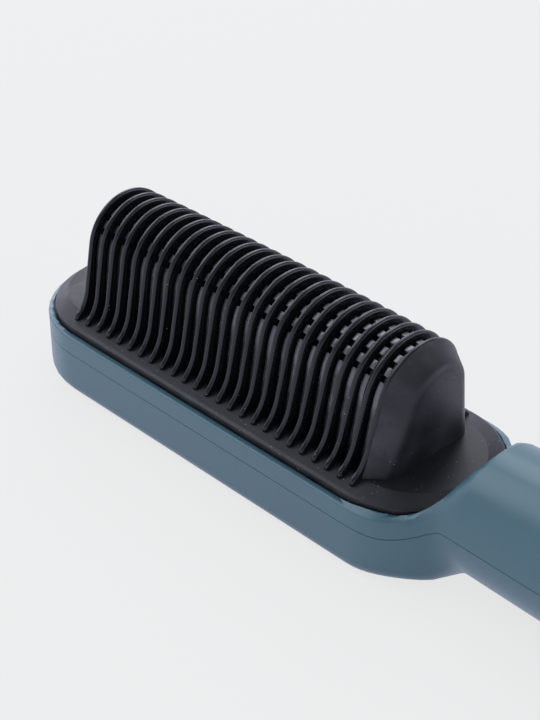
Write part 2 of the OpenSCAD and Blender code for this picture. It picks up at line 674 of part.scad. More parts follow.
// Power switch with its tab, hung from the board by three legs
module triac() color([0.14, 0.14, 0.15]) {
    top = board_under - 2;
    translate([triac_at[0], triac_at[1], top - triac[2]]) {
        translate([-triac[0] / 2, -triac[1] / 2, 0]) cube(triac);
        difference() {
            translate([-triac[0] / 2, triac[1] / 2 - 1.3, -5]) cube([triac[0], 1.3, 5.5]);
            translate([0, 0, -2.4]) rotate([-90, 0, 0]) cylinder(r = 1.8, h = 5);
        }
    }
    for (p = triac_pins) translate([p[0], p[1], top - 1]) cylinder(r = pin_r, h = board_z - top + 1.8);
}

module tact_switch() color([0.30, 0.30, 0.32]) translate([button_x, 0, 0]) difference() {
    union() {
        translate([0, 0, board_z]) linear_extrude(switch_top - board_z - 0.4)
            chamfered(switch_w, switch_w, 0.5);
        translate([-switch_w / 2 + 0.4, -switch_w / 2 + 0.4, board_z])
            cube([switch_w - 0.8, switch_w - 0.8, switch_top - board_z]);
        for (x = [-1, 1], y = [-1, 1])
            translate([x * 3.4 - 0.7, y * 2.2 - 0.4, board_z]) cube([1.4, 0.8, 0.5]);
    }
    translate([0, 0, plunger_z - button_travel - 0.3]) cylinder(r = plunger_r + 0.15, h = 4);
}

module switch_plunger() color([0.55, 0.15, 0.12]) translate([button_x, 0, plunger_z])
    cylinder(r = plunger_r, h = plunger_top - plunger_z - 0.02);

// Hollow button with a stem, a lip under the bezel and a dished top
module power_button() color([0.24, 0.40, 0.42]) translate([button_x, 0, 0]) difference() {
    rotate_extrude() polygon([[0, plunger_top], [plunger_r + 0.3, plunger_top],
        [plunger_r + 0.3, button_top - cap_t], [button_r - cap_t, button_top - cap_t],
        [button_r - cap_t, flange_top - 0.9], [button_r + flange_w, flange_top - 0.9],
        [button_r + flange_w, flange_top], [button_r, flange_top], [button_r, button_top - 0.5],
        [button_r - 0.15, button_top - 0.15], [button_r - 0.5, button_top], [0, button_top]]);
    translate([0, 0, button_top + dish_r - 0.3]) sphere(r = dish_r, $fn = 96);
}

// Ring that guides the button, clipped in from inside the handle
module button_bezel() color([0.80, 0.81, 0.82]) translate([button_x, 0, 0]) {
    bore_r = button_r + button_gap;
    lip_r = button_r + flange_w + 0.2;
    rotate_extrude() polygon([[lip_r, bezel_z], [bezel_flange_r, bezel_z],
        [bezel_flange_r, bezel_z + bezel_flange_t], [bezel_r, bezel_z + bezel_flange_t],
        [bezel_r, bezel_top - 0.5], [bezel_r - 0.15, bezel_top - 0.15], [bezel_r - 0.5, bezel_top],
        [bore_r + 0.3, bezel_top], [bore_r, bezel_top - 0.3], [bore_r, flange_top + 0.3],
        [lip_r, flange_top + 0.3]]);
}

module indicator_leds() color([0.90, 0.92, 0.80]) for (x = lights) translate([x, 0, board_z]) {
    translate([-1, -0.65, 0]) cube([2, 1.3, 0.6]);
    translate([0, 0, 0.6]) cylinder(r1 = 0.6, r2 = 0.45, h = 0.5);
}

// One clear moulding: a light guide under each window, joined by a bar under the shell
module indicator_lenses() color([0.90, 0.93, 0.93]) {
    for (x = lights) translate([x, 0, board_z + 1.4]) {
        cylinder(r = light_r, h = handle_z + grip_r(x) - board_z - 1.6);
        translate([0, 0, handle_z + grip_r(x) - board_z - 1.6])
            cylinder(r1 = light_r, r2 = light_r - 0.2, h = 0.3);
    }
    bar_z = handle_z + handle_r - wall - 1.8;
    translate([lights[0] - 2, -2.4, bar_z]) cube([lights[light_count - 1] - lights[0] + 4, 4.8, 1.4]);
}

// Boss of a housing screw with its hole, in the lower housing, from z to top
module screw_hole(x, z) {
    translate([x, 0, -1]) cylinder(r = screw_head_r + 0.3, h = z + 1);
    translate([x, 0, z - 1]) cylinder(r = screw_r + 0.25, h = handle_z + 2);
}

module upper_housing() color([0.22, 0.36, 0.38]) {
    difference() {
        skin([for (s = stations) half_ring(s, 1, 0)]);
        translate([0, 0, skirt_z]) stadium(cut_r, rim_z - skirt_z + eps);
        translate([0, 0, seam_z - 2]) stadium(ledge_r, skirt_z - seam_z + 2 + eps);
        translate([rear_x, 0, rim_z]) cylinder(r1 = cut_r, r2 = cut_r + front_h * front_draft, h = front_h);
        difference() {
            skin([for (x = hollow_x) hollow_ring(x)]);
            translate([rear_x, 0, 0]) cylinder(r = cut_r + wall, h = rim_z + eps);
            translate([rear_x, 0, rim_z])
                cylinder(r1 = cut_r + wall, r2 = cut_r + wall + front_h * front_draft, h = front_h);
        }
        translate([button_x, 0, board_z]) cylinder(r = bezel_r + fit, h = 20);
        for (x = lights) translate([x, 0, board_z]) cylinder(r = light_r + fit, h = 20);
        bush_hole();
    }
    for (x = grip_screws_x) translate([x, 0, 0]) difference() {
        translate([0, 0, handle_z + seat]) cylinder(r = boss_r, h = handle_r - wall + 0.5);
        translate([0, 0, handle_z])
            cylinder(r = screw_r + fit, h = grip_seat_z + grip_screw_l - handle_z + 0.5);
    }
    // posts for the circuit board
    for (x = board_screws_x) translate([x, 0, 0]) difference() {
        translate([0, 0, board_z]) cylinder(r = 2.5, h = handle_z + handle_r - wall + 0.5 - board_z);
        translate([0, 0, board_z - 1]) cylinder(r = board_screw_r, h = 6);
    }
}

module bush_hole() {
    translate([gland_x - wall - 0.5, 0, handle_z]) rotate([0, 90, 0])
        cylinder(r = bush_r + fit, h = wall + 2);
}

module lower_housing() color([0.20, 0.34, 0.36]) difference() {
    union() {
        shell([for (s = stations) half_ring(s, -1, 0)], [for (s = stations) half_ring(s, -1, wall)]);
        for (x = head_screws_x) translate([x, 0, 0.5]) cylinder(r = boss_r, h = guard_boss_z - seat - 0.5);
        for (x = grip_screws_x) translate([x, 0, handle_z - handle_r + 0.7])
            cylinder(r = boss_r, h = handle_r - 0.7);
        // pillars that press the clamp up, and ribs that carry the brush holder
        for (p = pillars) translate([p[0], p[1], 0.5]) cylinder(r = pillar_r, h = clamp_z - seat - 0.5);
        for (x = rings_x) translate([x - 0.8, -3.5, handle_z - grip_r(x) + 1])
            cube([1.6, 7, holder_z - handle_z + grip_r(x) - 1]);
        // end wall of the tail
        translate([gland_x - wall, 0, handle_z]) rotate([0, 90, 0]) difference() {
            cylinder(r = tail_r - 0.5, h = wall);
            translate([-tail_r, -tail_r, -1]) cube([tail_r, 2 * tail_r, wall + 2]);
        }
    }
    for (x = head_screws_x) screw_hole(x, recess_h);
    for (x = grip_screws_x) screw_hole(x, grip_seat_z);
    bush_hole();
    // the flat that the head lies on
    translate([-overall_l / 2 - 1, -head_r, -3]) cube([head_run + 2 * head_r + 20, 2 * head_r, 3]);
}

module swivel_bush() color([0.30, 0.30, 0.32])
    translate([bush_x, 0, handle_z]) rotate([0, 90, 0]) difference() {
    union() {
        cylinder(r = bush_r, h = bush_flange_t + wall + bush_proud);
        cylinder(r = bush_flange_r, h = bush_flange_t - seat);
    }
    translate([0, 0, -1]) cylinder(r = bush_bore_r, h = 10);
}

// Turning gland: ribbed outside, a neck in the bush, and a spigot with the slip rings inside
module cord_swivel() color([0.13, 0.13, 0.14]) translate([0, 0, handle_z]) rotate([0, 90, 0]) {
    out_x = gland_x + bush_proud + 0.3;
    end_x = overall_l / 2;
    rib = (end_x - out_x - 3) / 4;
    difference() {
        rotate_extrude() polygon([[0, spigot_x], [spigot_r, spigot_x], [spigot_r, neck_x], [neck_r, neck_x],
            [neck_r, clip_x - 0.05], [groove_r, clip_x - 0.05], [groove_r, clip_x + clip_t + 0.05],
            [neck_r, clip_x + clip_t + 0.05], [neck_r, out_x], [gland_r - 0.6, out_x],
            [gland_r, out_x + 0.6], [gland_r, out_x + 3], [gland_end_r, end_x - 0.8],
            [gland_end_r - 0.8, end_x], [0, end_x]]);
        for (i = [0:2]) translate([0, 0, out_x + 3.2 + i * rib]) difference() {
            cylinder(r = gland_r + 1, h = rib * 0.45);
            translate([0, 0, -1]) cylinder(r = gland_end_r - 0.5, h = rib + 2);
        }
        translate([0, 0, end_x - 20]) cylinder(r = cord_bore_r, h = 21);
        translate([0, 0, spigot_x - 1]) cylinder(r = cord_bore_r - 0.7, h = end_x - spigot_x);
    }
}

module slip_rings() color([0.80, 0.62, 0.28]) for (x = rings_x)
    translate([x - ring_w / 2, 0, handle_z]) rotate([0, 90, 0]) difference() {
        cylinder(r = ring_r, h = ring_w);
        translate([0, 0, -1]) cylinder(r = spigot_r + fit, h = ring_w + 2);
    }

// Open spring clip in the neck's groove
module swivel_clip() color([0.70, 0.71, 0.73])
    translate([clip_x, 0, handle_z]) rotate([0, 90, 0]) difference() {
    cylinder(r = bush_r, h = clip_t);
    translate([0, 0, -1]) cylinder(r = groove_r + fit, h = clip_t + 2);
    translate([0, -groove_r + 1, -1]) cube([bush_r + 1, 2 * groove_r - 2, clip_t + 2]);
}

// Block with a pocket for each brush
module brush_holder() color([0.88, 0.86, 0.80]) difference() {
    translate([holder_x, -4, holder_z]) cube([rings_x[0] - rings_x[1] + 6, 8, holder_top - holder_z]);
    for (x = rings_x) translate([x - brush_t / 2 - fit, -2.5 - fit, holder_z + 1.4])
        cube([brush_t + 2 * fit, 5 + 2 * fit, 10]);
}

// Brushes hollowed to ride on the slip rings
module brush_contacts() color([0.35, 0.33, 0.32]) difference() {
    for (x = rings_x) translate([x - brush_t / 2, -2.5, holder_z + 1.4])
        cube([brush_t, 5, handle_z - ring_r + 1 - holder_z - 1.4]);
    translate([spigot_x - 1, 0, handle_z]) rotate([0, 90, 0])
        cylinder(r = ring_r + brush_gap, h = spigot_l + 2);
}

module housing_screws() color([0.62, 0.63, 0.66]) {
    for (x = head_screws_x) translate([x, 0, 0])
        screw(recess_h, screw_r, screw_l - 2.6, screw_head_r, screw_head_h);
    for (x = grip_screws_x) translate([x, 0, 0])
        screw(grip_seat_z, screw_r, grip_screw_l, screw_head_r, screw_head_h);
}

upper_housing();
lower_housing();
comb_guard();
heating_comb();
ceramic_heater();
mica_sheet();
heater_clamp();
clamp_screws();
thermistor();
thermal_fuse();
heater_leads();
sensor_leads();
control_board();
board_screws();
power_capacitor();
triac();
tact_switch();
switch_plunger();
power_button();
button_bezel();
indicator_leds();
indicator_lenses();
supply_leads();
swivel_bush();
cord_swivel();
slip_rings();
swivel_clip();
brush_holder();
brush_contacts();
housing_screws();
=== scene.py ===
# Heated straightening comb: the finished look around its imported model.
import json
import math
import random

import bmesh
import bpy
from mathutils import Matrix, Vector

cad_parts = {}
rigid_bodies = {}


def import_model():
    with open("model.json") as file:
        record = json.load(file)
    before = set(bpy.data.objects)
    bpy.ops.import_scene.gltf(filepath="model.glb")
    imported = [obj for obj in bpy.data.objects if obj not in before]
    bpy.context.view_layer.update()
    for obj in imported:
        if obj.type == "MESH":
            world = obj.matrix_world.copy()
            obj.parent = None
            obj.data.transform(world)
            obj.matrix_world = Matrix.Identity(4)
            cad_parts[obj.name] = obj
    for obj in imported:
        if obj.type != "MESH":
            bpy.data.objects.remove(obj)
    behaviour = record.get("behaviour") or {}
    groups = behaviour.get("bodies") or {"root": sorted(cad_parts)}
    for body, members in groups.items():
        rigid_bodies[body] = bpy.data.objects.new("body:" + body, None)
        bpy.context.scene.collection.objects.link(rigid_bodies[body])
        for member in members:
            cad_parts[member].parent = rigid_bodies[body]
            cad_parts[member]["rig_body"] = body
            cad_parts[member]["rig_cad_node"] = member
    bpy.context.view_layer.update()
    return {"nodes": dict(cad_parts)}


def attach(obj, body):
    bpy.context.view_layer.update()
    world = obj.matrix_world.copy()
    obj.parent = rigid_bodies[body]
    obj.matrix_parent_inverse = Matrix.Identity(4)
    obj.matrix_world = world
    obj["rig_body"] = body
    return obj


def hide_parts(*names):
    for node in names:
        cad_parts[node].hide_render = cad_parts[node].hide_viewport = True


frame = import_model()

MM = 0.001

# Head, in millimetres, in the model's own frame
FRONT_X = -112.4         # middle of the head's round tip
REAR_X = -22.4           # middle of its round rear end
COMB_X = -68.2           # middle of the comb
END_SIDES = 128          # sides of a full circle at the round ends
RIM_Z = 17.0             # housing rim round the guard
LEDGE_Z = 14.9           # ledge that the guard stands on
POCKET_R = 21.55         # pocket that the guard sits in
GAP_MORE = 0.35          # added to the gap round the guard
SHOULDER_DRAFT = 0.24    # lean of the shoulder's front wall, as a slope
SHOULDER_TALL = 20.0     # more than the shoulder's height over the rim
RIM_OVERCUT = 0.1        # how far the rear end's cut rises over the rim
BLEND_ANGLE = 28         # facets that meet at less are blended
SEAM_CHAMFER = 0.27
SEAM_TURN = 45           # edges of the seam turn by more
SEAM_FROM, SEAM_TO = 11.0, 16.6  # heights that the seam stays between

# Limits of what counts as the same, level or flat
SAME = 0.01              # heights that differ by less are one
WELD = 0.001             # corners nearer to each other than this are merged
LEVEL = 0.8              # least upright part of a level face's normal
FLAT_ANGLE = math.radians(0.05)
PAST = 1.0               # how far a cutter reaches past what it cuts
APART = 1000.0           # how far from the middle the plate's ends are held while they are placed

# Guard's plate
PLATE_R = 21.3
LIP_R = 20.6
LIP_ROUND = 0.12
DECK_R = 16.0
DECK_FRONT = 3.4         # how far the deck's tip stands out past its circle
DECK_REAR = 1.6          # the same at its rear end
SKIRT_Z = 14.7
SKIRT_T = 1.7
EDGE_Z = 17.8
LIP_Z = 18.22
DECK_Z = 19.4
DECK_UNDER = 17.0
BOSS_X = (-122.4, -12.4)
BOSS_R = 3.4
BOSS_WALL = 2.07
BOSS_FOOT, BOSS_TOP = 6.6, 17.2
BOSS_HOLE = 8.0          # depth of its screw hole
BOSS_ROUND = 0.2

# Guard's fins
PITCH = 3.85
GAPS = 24
ROW_L = PITCH * GAPS
FIN_T = 1.3
FIN_ROUND = 0.55
CREST_R = 12.8
CREST_Z = 47.3
CREST_ZC = CREST_Z - CREST_R
BOW = 0.5                # how much higher the row's middle is than its ends
FRONT_DROP = 0.7         # how much lower the tip end is than the handle end
SPLAY = math.radians(4)  # lean of the end fins away from the middle
SPLAY_Z = DECK_Z + 1.5   # height from which a guard fin leans
LEAN = math.radians(13)  # lean of a fin's sides
TOE_W = 18.8
TOE_TIP = 1.2            # stretch of the toe that spreads
TOE_SPREAD = 0.4
TOE_T = 1.0
TOE_SINK = 0.6           # how deep a toe stands in the plate
FLARE_Z = DECK_Z + 6.2   # height at which the sides start to flare
BOW_Z = FLARE_Z + 4      # height from which a fin follows the bow
SLOT_W = 2.0
SLOT_PLAY = 0.3          # how far a slot reaches past its heated fin

# Heated comb
HEAT_INSET = 1.25        # how far the heated crest lies inside the guard's
HEAT_R = CREST_R - HEAT_INSET
HEAT_T = 1.4
HEAT_ROUND = 0.16
HEAT_LEAN = math.radians(9.2)
HEAT_DROP = 1.5          # how much lower the tip end is than the handle end
HEAT_PLAY = 0.2          # how far a fin stands from the middle of its gap at most
PLAY_SEED = 4
HEAT_SINK = 0.5          # how deep a heated fin stands in its plate
BASE_TOP = 16.9
BASE_T = 3.0
BASE_W = 31.0
BASE_PAST = 3.0          # how far the plate reaches past the row
BASE_ROUND = 0.4
HOLE_X, HOLE_Y = 45.4, 10.5  # places of the screw holes, from the comb's middle
HOLE_R = 1.0
HOLE_DEPTH = 2.4
NOTCHES = 7
NOTCH_W = 1.5
NOTCH_H = 1.5
NOTCH_GAP = 3.6          # from notch to notch along the crest
TOOTH_TURN = NOTCH_GAP / HEAT_R
HALF_NOTCH = math.asin(NOTCH_W / 2 / HEAT_R)
TOOTH_STEPS = 4          # chords in the arc between two notches

# End block, and the face that it is drawn in to
BLOCK_FROM = 0.2         # where it starts, from the last fin's middle
BLOCK_TO = 5.4           # where its face stands, from the same middle
BLOCK_INSET = 0.05       # how far the block stays inside the fins' outline
BLOCK_SINK = 0.5         # how deep it stands in the deck
BLOCK_ROUND = 1.5
FACE_R = CREST_R - 4.6
FACE_TOP = CREST_Z - 3.6
FACE_LEAN = math.radians(13)
FACE_TILT = math.radians(7.0)


# ---------------------------------------------------------------- modelling helps

def mm(*values):
    return Vector(values) * MM


def deselect():
    if bpy.context.object and bpy.context.object.mode != "OBJECT":
        bpy.ops.object.mode_set(mode="OBJECT")
    bpy.ops.object.select_all(action="DESELECT")


def activate(piece):
    deselect()
    piece.select_set(True)
    bpy.context.view_layer.objects.active = piece


def edit(piece):
    activate(piece)
    bpy.ops.object.mode_set(mode="EDIT")
    bpy.ops.mesh.select_mode(type="VERT")


def settle(name):
    """Names the new primitive and puts its place and size into its mesh."""
    piece = bpy.context.object
    piece.name = piece.data.name = name
    bpy.ops.object.transform_apply(location=True, rotation=True, scale=True)
    return piece


def choose(piece, kind, test):
    """Selects the vertices, edges or faces of piece that pass the test."""
    bpy.ops.mesh.select_mode(type=kind)
    bpy.ops.mesh.select_all(action="DESELECT")
    shape = bmesh.from_edit_mesh(piece.data)
    for part in {"VERT": shape.verts, "EDGE": shape.edges, "FACE": shape.faces}[kind]:
        if test(part):
            part.select_set(True)
    shape.select_flush_mode()
    bmesh.update_edit_mesh(piece.data)


def middle(part):
    """Mean of the corners of an edge or face, in millimetres."""
    return sum((v.co for v in part.verts), Vector()) / len(part.verts) / MM


def bend(edge):
    """Angle between the two faces of an edge, in degrees."""
    return math.degrees(edge.calc_face_angle(0.0))


def move(x=0.0, y=0.0, z=0.0):
    bpy.ops.transform.translate(value=mm(x, y, z))


def pull(x=0.0, y=0.0, z=0.0):
    bpy.ops.mesh.extrude_region_move(TRANSFORM_OT_translate={"value": mm(x, y, z)})


def draw(name, x, points):
    """Open flat outline at x through points in Y and Z, drawn by pulling one corner along."""
    deselect()
    bpy.ops.mesh.primitive_plane_add(size=MM, location=mm(x, *points[0]))
    piece = settle(name)
    edit(piece)
    bpy.ops.mesh.select_all(action="SELECT")
    bpy.ops.mesh.merge(type="CENTER")
    trace(points)
    return piece


def trace(points):
    """Pulls the chosen corner through the points, which leaves a chain of edges."""
    for (y0, z0), (y1, z1) in zip(points, points[1:]):
        pull(0, y1 - y0, z1 - z0)


def fill(piece):
    """Closes the piece's outline with one more edge and a face."""
    choose(piece, "EDGE", lambda e: True)
    choose(piece, "VERT", lambda v: len(v.link_edges) == 1)
    bpy.ops.mesh.edge_face_add()
    bpy.ops.mesh.select_all(action="SELECT")
    bpy.ops.mesh.edge_face_add()


def outward():
    bpy.ops.mesh.select_all(action="SELECT")
    bpy.ops.mesh.normals_make_consistent(inside=False)


def soften(piece, width, segments=2, angle=30, test=lambda e: True):
    """Rounds the edges that turn by more than angle and pass the test."""
    choose(piece, "EDGE",
           lambda e: len(e.link_faces) == 2 and bend(e) > angle and test(middle(e)))
    bpy.ops.mesh.bevel(offset=width * MM, segments=segments, affect="EDGES", clamp_overlap=True)


def smooth(piece, angle=30):
    activate(piece)
    bpy.ops.object.shade_smooth_by_angle(angle=math.radians(angle))
    return piece


def twin(piece, name):
    """Copy with a mesh of its own."""
    deselect()
    copy = piece.copy()
    copy.data = piece.data.copy()
    copy.name = copy.data.name = name
    bpy.context.collection.objects.link(copy)
    return copy


def join(name, pieces):
    deselect()
    for piece in pieces:
        piece.select_set(True)
    bpy.context.view_layer.objects.active = pieces[0]
    bpy.ops.object.join()
    pieces[0].name = pieces[0].data.name = name
    return pieces[0]


def cut(piece, cutter):
    """Takes the cutter's volume out of piece."""
    activate(piece)
    tool = piece.modifiers.new("cut", "BOOLEAN")
    tool.operation = "DIFFERENCE"
    tool.solver = "EXACT"
    tool.object = cutter
    bpy.ops.object.modifier_apply(modifier=tool.name)
    bpy.data.objects.remove(cutter)


def block(name, low, high):
    """Cuboid from its lowest to its highest corner, in millimetres."""
    deselect()
    low, high = Vector(low), Vector(high)
    bpy.ops.mesh.primitive_cube_add(
        size=1, location=(low + high) / 2 * MM, scale=(high - low) * MM)
    return settle(name)


def rod(name, x, y, z0, z1, radius, sides=48):
    """Upright cylinder from z0 to z1, in millimetres."""
    deselect()
    bpy.ops.mesh.primitive_cylinder_add(
        vertices=sides, radius=radius * MM, depth=(z1 - z0) * MM, location=mm(x, y, (z0 + z1) / 2))
    return settle(name)


def even(piece):
    """Lets the large faces rule how a smoothed piece is shaded, with its sharp edges kept."""
    activate(piece)
    tool = piece.modifiers.new("even", "WEIGHTED_NORMAL")
    tool.keep_sharp = True
    bpy.ops.object.modifier_apply(modifier=tool.name)
    return piece


def dress(piece, body, slot, material, *nodes):
    """Gives a piece its body and material, and hides the model's nodes that it stands for; the slot is
    not used.
    """
    piece.data.materials.clear()
    piece.data.materials.append(material)
    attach(piece, body)
    if nodes:
        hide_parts(*nodes)
    return piece


# ---------------------------------------------------------------- guard

def side_y(radius, crest_zc, lean, z):
    """Half width at height z of a leaning side under a crest of that radius."""
    return radius * math.cos(lean) + (crest_zc + radius * math.sin(lean) - z) * math.tan(lean)


def crest(radius, top, lean, steps=20):
    """Points of a round crest from its top to where the leaning side begins."""
    turn = math.pi / 2 - lean
    return [(radius * math.sin(turn * i / steps), top - radius + radius * math.cos(turn * i / steps))
            for i in range(steps + 1)]


def both_sides(half):
    """Outline from half of it, mirrored across the middle."""
    return [(-y, z) for y, z in reversed(half[1:])] + half


def flare(half_w, steps=12):
    """One arc from the leaning side out to the toe, and its blunt tip sunk into the plate."""
    toe_z = LIP_Z + (DECK_Z - LIP_Z) * (LIP_R - half_w) / (LIP_R - DECK_R)
    y = side_y(CREST_R, CREST_ZC, LEAN, FLARE_Z)
    dy, dz = half_w - y, toe_z + TOE_T - FLARE_Z
    radius = (dy * dy + dz * dz) / (2 * (dy * math.cos(LEAN) + dz * math.sin(LEAN)))
    cy, cz = y + radius * math.cos(LEAN), FLARE_Z + radius * math.sin(LEAN)
    start = math.pi + LEAN
    end = math.atan2(toe_z + TOE_T - cz, half_w - cy) % (2 * math.pi)
    arc = [(cy + radius * math.cos(start + (end - start) * i / steps),
            cz + radius * math.sin(start + (end - start) * i / steps)) for i in range(steps + 1)]
    return arc + [(half_w, toe_z - TOE_SINK)]


def guard_fin():
    """One fin with its round crest, leaning sides and flared toes."""
    outline = both_sides(crest(CREST_R, CREST_Z, LEAN) + flare(TOE_W))
    fin = draw("guard_fin", COMB_X - FIN_T / 2, outline)
    fill(fin)
    pull(FIN_T)
    outward()
    soften(fin, FIN_ROUND, 4)
    return fin


def splay(x, share):
    """Leans what is chosen away from the comb's middle, about x on the deck, by a share of SPLAY."""
    bpy.ops.transform.rotate(
        value=-SPLAY * share, orient_axis="Y", center_override=mm(x, 0, DECK_Z))


def guard_fins():
    """The row of fins: highest near its middle, fanned out, its toes wider toward the ends."""
    first = guard_fin()
    row = [first] + [twin(first, f"fin_{i}") for i in range(GAPS)]
    for i, fin in enumerate(row):
        bow = (2 * i / GAPS - 1) ** 2
        edit(fin)
        bpy.ops.mesh.select_all(action="SELECT")
        move(x=(i - GAPS / 2) * PITCH)
        choose(fin, "VERT", lambda v: v.co.z > BOW_Z * MM)
        move(z=BOW * (1 - bow) - FRONT_DROP * (1 - i / GAPS))
        for side in (-1, 1):
            choose(fin, "VERT", lambda v: v.co.y * side > (TOE_W - TOE_TIP) * MM)
            move(y=side * TOE_SPREAD * bow)
        choose(fin, "VERT", lambda v: v.co.z > SPLAY_Z * MM)
        splay(COMB_X + (i - GAPS / 2) * PITCH, 2 * i / GAPS - 1)
    return join("guard_fins", row)


def keep_end(piece, front):
    """Keeps chosen only the corners of the round tip or of the round rear end."""
    shape = bmesh.from_edit_mesh(piece.data)
    for v in shape.verts:
        if v.select and (v.co.x < (FRONT_X + REAR_X) / 2 * MM) != front:
            v.select_set(False)
    shape.select_flush_mode()
    bmesh.update_edit_mesh(piece.data)


def step_up(piece, z0, z1, scale, front=0.0, rear=0.0):
    """Pulls the chosen top up to z1, scales its round ends about their middles and moves them out."""
    pull(z=z1 - z0)
    for is_front, x, out in ((True, FRONT_X, -front), (False, REAR_X, rear)):
        choose(piece, "VERT", lambda v: abs(v.co.z / MM - z1) < SAME)
        keep_end(piece, is_front)
        bpy.ops.transform.resize(value=(scale, scale, 1), center_override=mm(x, 0, z1))
        move(x=out)
    choose(piece, "FACE", lambda f: abs(middle(f).z - z1) < SAME and abs(f.normal.z) > LEVEL)


def guard_plate():
    """Plate of the guard: a skirt that sits in the housing, a lip, a sloping rim and a flat deck."""
    deselect()
    bpy.ops.mesh.primitive_circle_add(
        vertices=END_SIDES, radius=PLATE_R * MM, fill_type="NGON", location=mm(0, 0, SKIRT_Z),
        rotation=(0, 0, math.pi / END_SIDES))
    plate = settle("guard_plate")
    edit(plate)
    for sign, x in ((-1, FRONT_X), (1, REAR_X)):
        choose(plate, "VERT", lambda v: abs(v.co.x) < APART / 2 * MM and v.co.x * sign > 0)
        move(x=x + sign * APART)
    for sign in (-1, 1):
        choose(plate, "VERT", lambda v: v.co.x * sign > 0)
        move(x=-sign * APART)
    choose(plate, "FACE", lambda f: True)
    step_up(plate, SKIRT_Z, EDGE_Z, 1)
    step_up(plate, EDGE_Z, LIP_Z, LIP_R / PLATE_R)
    step_up(plate, LIP_Z, DECK_Z, DECK_R / LIP_R, DECK_FRONT, DECK_REAR)
    outward()
    choose(plate, "FACE", lambda f: f.normal.z < -LEVEL)
    bpy.ops.mesh.inset(thickness=SKIRT_T * MM)
    pull(z=DECK_UNDER - SKIRT_Z)
    outward()
    soften(plate, LIP_ROUND, 2, angle=25, test=lambda c: c.z > (DECK_UNDER + EDGE_Z) / 2)
    return plate


def deck_slots():
    """Cutter for the slots that the heated fins stand in."""
    half_l = side_y(HEAT_R, CREST_ZC, HEAT_LEAN, DECK_UNDER) + SLOT_PLAY
    first = block("slot", (COMB_X - SLOT_W / 2, -half_l, DECK_UNDER - PAST),
                  (COMB_X + SLOT_W / 2, half_l, DECK_Z + PAST))
    row = [first] + [twin(first, f"slot_{i}") for i in range(1, GAPS)]
    for i, slot in enumerate(row):
        edit(slot)
        bpy.ops.mesh.select_all(action="SELECT")
        move(x=(i + 0.5 - GAPS / 2) * PITCH)
    return join("slots", row)


def guard_boss(x):
    """Boss under the plate for a housing screw."""
    boss = rod("guard_boss", x, 0, BOSS_FOOT, BOSS_TOP, BOSS_R)
    edit(boss)
    choose(boss, "FACE", lambda f: f.normal.z < -LEVEL)
    bpy.ops.mesh.inset(thickness=BOSS_WALL * MM)
    pull(z=BOSS_HOLE)
    outward()
    soften(boss, BOSS_ROUND, 2, angle=60, test=lambda c: c.z < BOSS_FOOT + BOSS_ROUND)
    return boss


def block_outline(radius, top, lean):
    """Half of an arch like a fin's, with straight sides down into the deck."""
    foot_z = DECK_Z - BLOCK_SINK
    return crest(radius, top, lean) + [(side_y(radius, top - radius, lean, foot_z), foot_z)]


def end_block():
    """Smooth block behind the last fin, drawn in to its end face."""
    x0 = COMB_X + ROW_L / 2 + BLOCK_FROM
    x1 = COMB_X + ROW_L / 2 + BLOCK_TO
    near = block_outline(CREST_R - BLOCK_INSET, CREST_Z - BLOCK_INSET, LEAN)
    piece = draw("end_block", x0, both_sides(near))
    fill(piece)
    choose(piece, "VERT", lambda v: True)
    splay(x0, 1)
    deselect()
    face = draw("block_face", x1, both_sides(block_outline(FACE_R, FACE_TOP, FACE_LEAN)))
    fill(face)
    choose(face, "VERT", lambda v: True)
    bpy.ops.transform.rotate(value=-FACE_TILT, orient_axis="Y", center_override=mm(x1, 0, DECK_Z))
    piece = join("guard_end_block", [piece, face])
    edit(piece)
    bpy.ops.mesh.select_mode(type="EDGE")
    bpy.ops.mesh.select_all(action="SELECT")
    bpy.ops.mesh.bridge_edge_loops()
    outward()
    soften(piece, BLOCK_ROUND, 6, test=lambda c: c.x > (x0 + x1) / 2 and c.z > DECK_Z)
    return piece


# ---------------------------------------------------------------- heated comb

def notch_corners(turn, side):
    """Two corners of one wall of a notch, turned about the crest's centre, in drawing order."""
    out = (side * NOTCH_W / 2, HEAT_R * math.cos(HALF_NOTCH))
    low = (side * NOTCH_W / 2, HEAT_R - NOTCH_H)
    return [(y * math.cos(turn) + z * math.sin(turn), z * math.cos(turn) - y * math.sin(turn))
            for y, z in ((low, out) if side > 0 else (out, low))]


def toothed_crest():
    """Crest of a heated fin, cut into teeth, from its top to the start of the leaning side."""
    last = NOTCHES // 2
    points = []
    for k in range(last + 1):
        turn = k * TOOTH_TURN
        for side in (1,) if k == 0 else (-1, 1):
            points += notch_corners(turn, side)
        start = turn + HALF_NOTCH
        stop = (k + 1) * TOOTH_TURN - HALF_NOTCH if k < last else math.pi / 2 - HEAT_LEAN
        for i in range(1, TOOTH_STEPS + 1 if k == last else TOOTH_STEPS):
            angle = start + (stop - start) * i / TOOTH_STEPS
            points.append((HEAT_R * math.sin(angle), HEAT_R * math.cos(angle)))
    return [(y, z + CREST_ZC) for y, z in points]


def heated_fin():
    """One fin of the heated comb, with its foot sunk into the plate."""
    foot_z = BASE_TOP - HEAT_SINK
    half = [(0, CREST_ZC + HEAT_R - NOTCH_H)] + toothed_crest()
    half.append((side_y(HEAT_R, CREST_ZC, HEAT_LEAN, foot_z), foot_z))
    fin = draw("heated_fin", COMB_X - HEAT_T / 2, both_sides(half))
    fill(fin)
    pull(HEAT_T)
    outward()
    soften(fin, HEAT_ROUND, 2)
    return fin


